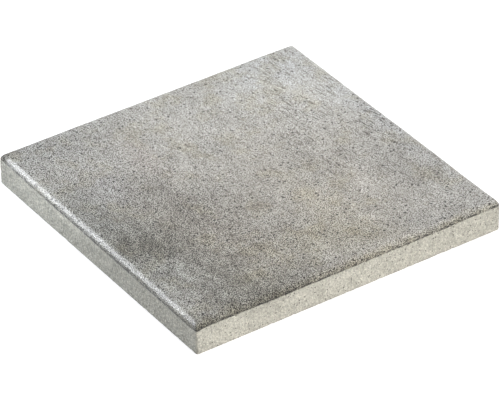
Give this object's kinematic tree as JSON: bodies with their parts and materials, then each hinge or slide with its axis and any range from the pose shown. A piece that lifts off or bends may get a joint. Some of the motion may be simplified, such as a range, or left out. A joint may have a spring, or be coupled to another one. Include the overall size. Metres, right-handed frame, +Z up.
{
  "type": "concrete paving slab",
  "caption": "Square concrete paving slab with a flat wearing face, broadly rounded top edges and plain upright sides, laid flat on a bed to make paths and terraces.",
  "frame": {"origin": "middle of the bedding face, on the ground", "axes": "+Z up out of the wearing face, +X along the slab's width and +Y along its length, with the front side towards -Y"},
  "size_m": [0.4, 0.4, 0.04],
  "materials": {
    "concrete": "fine-grained cast concrete, mottled grey and slightly glossy on the wearing face and its rounded edges, paler and matt on the sides"
  },
  "bodies": {
    "root": {"slab": "concrete"}
  },
  "joints": []
}
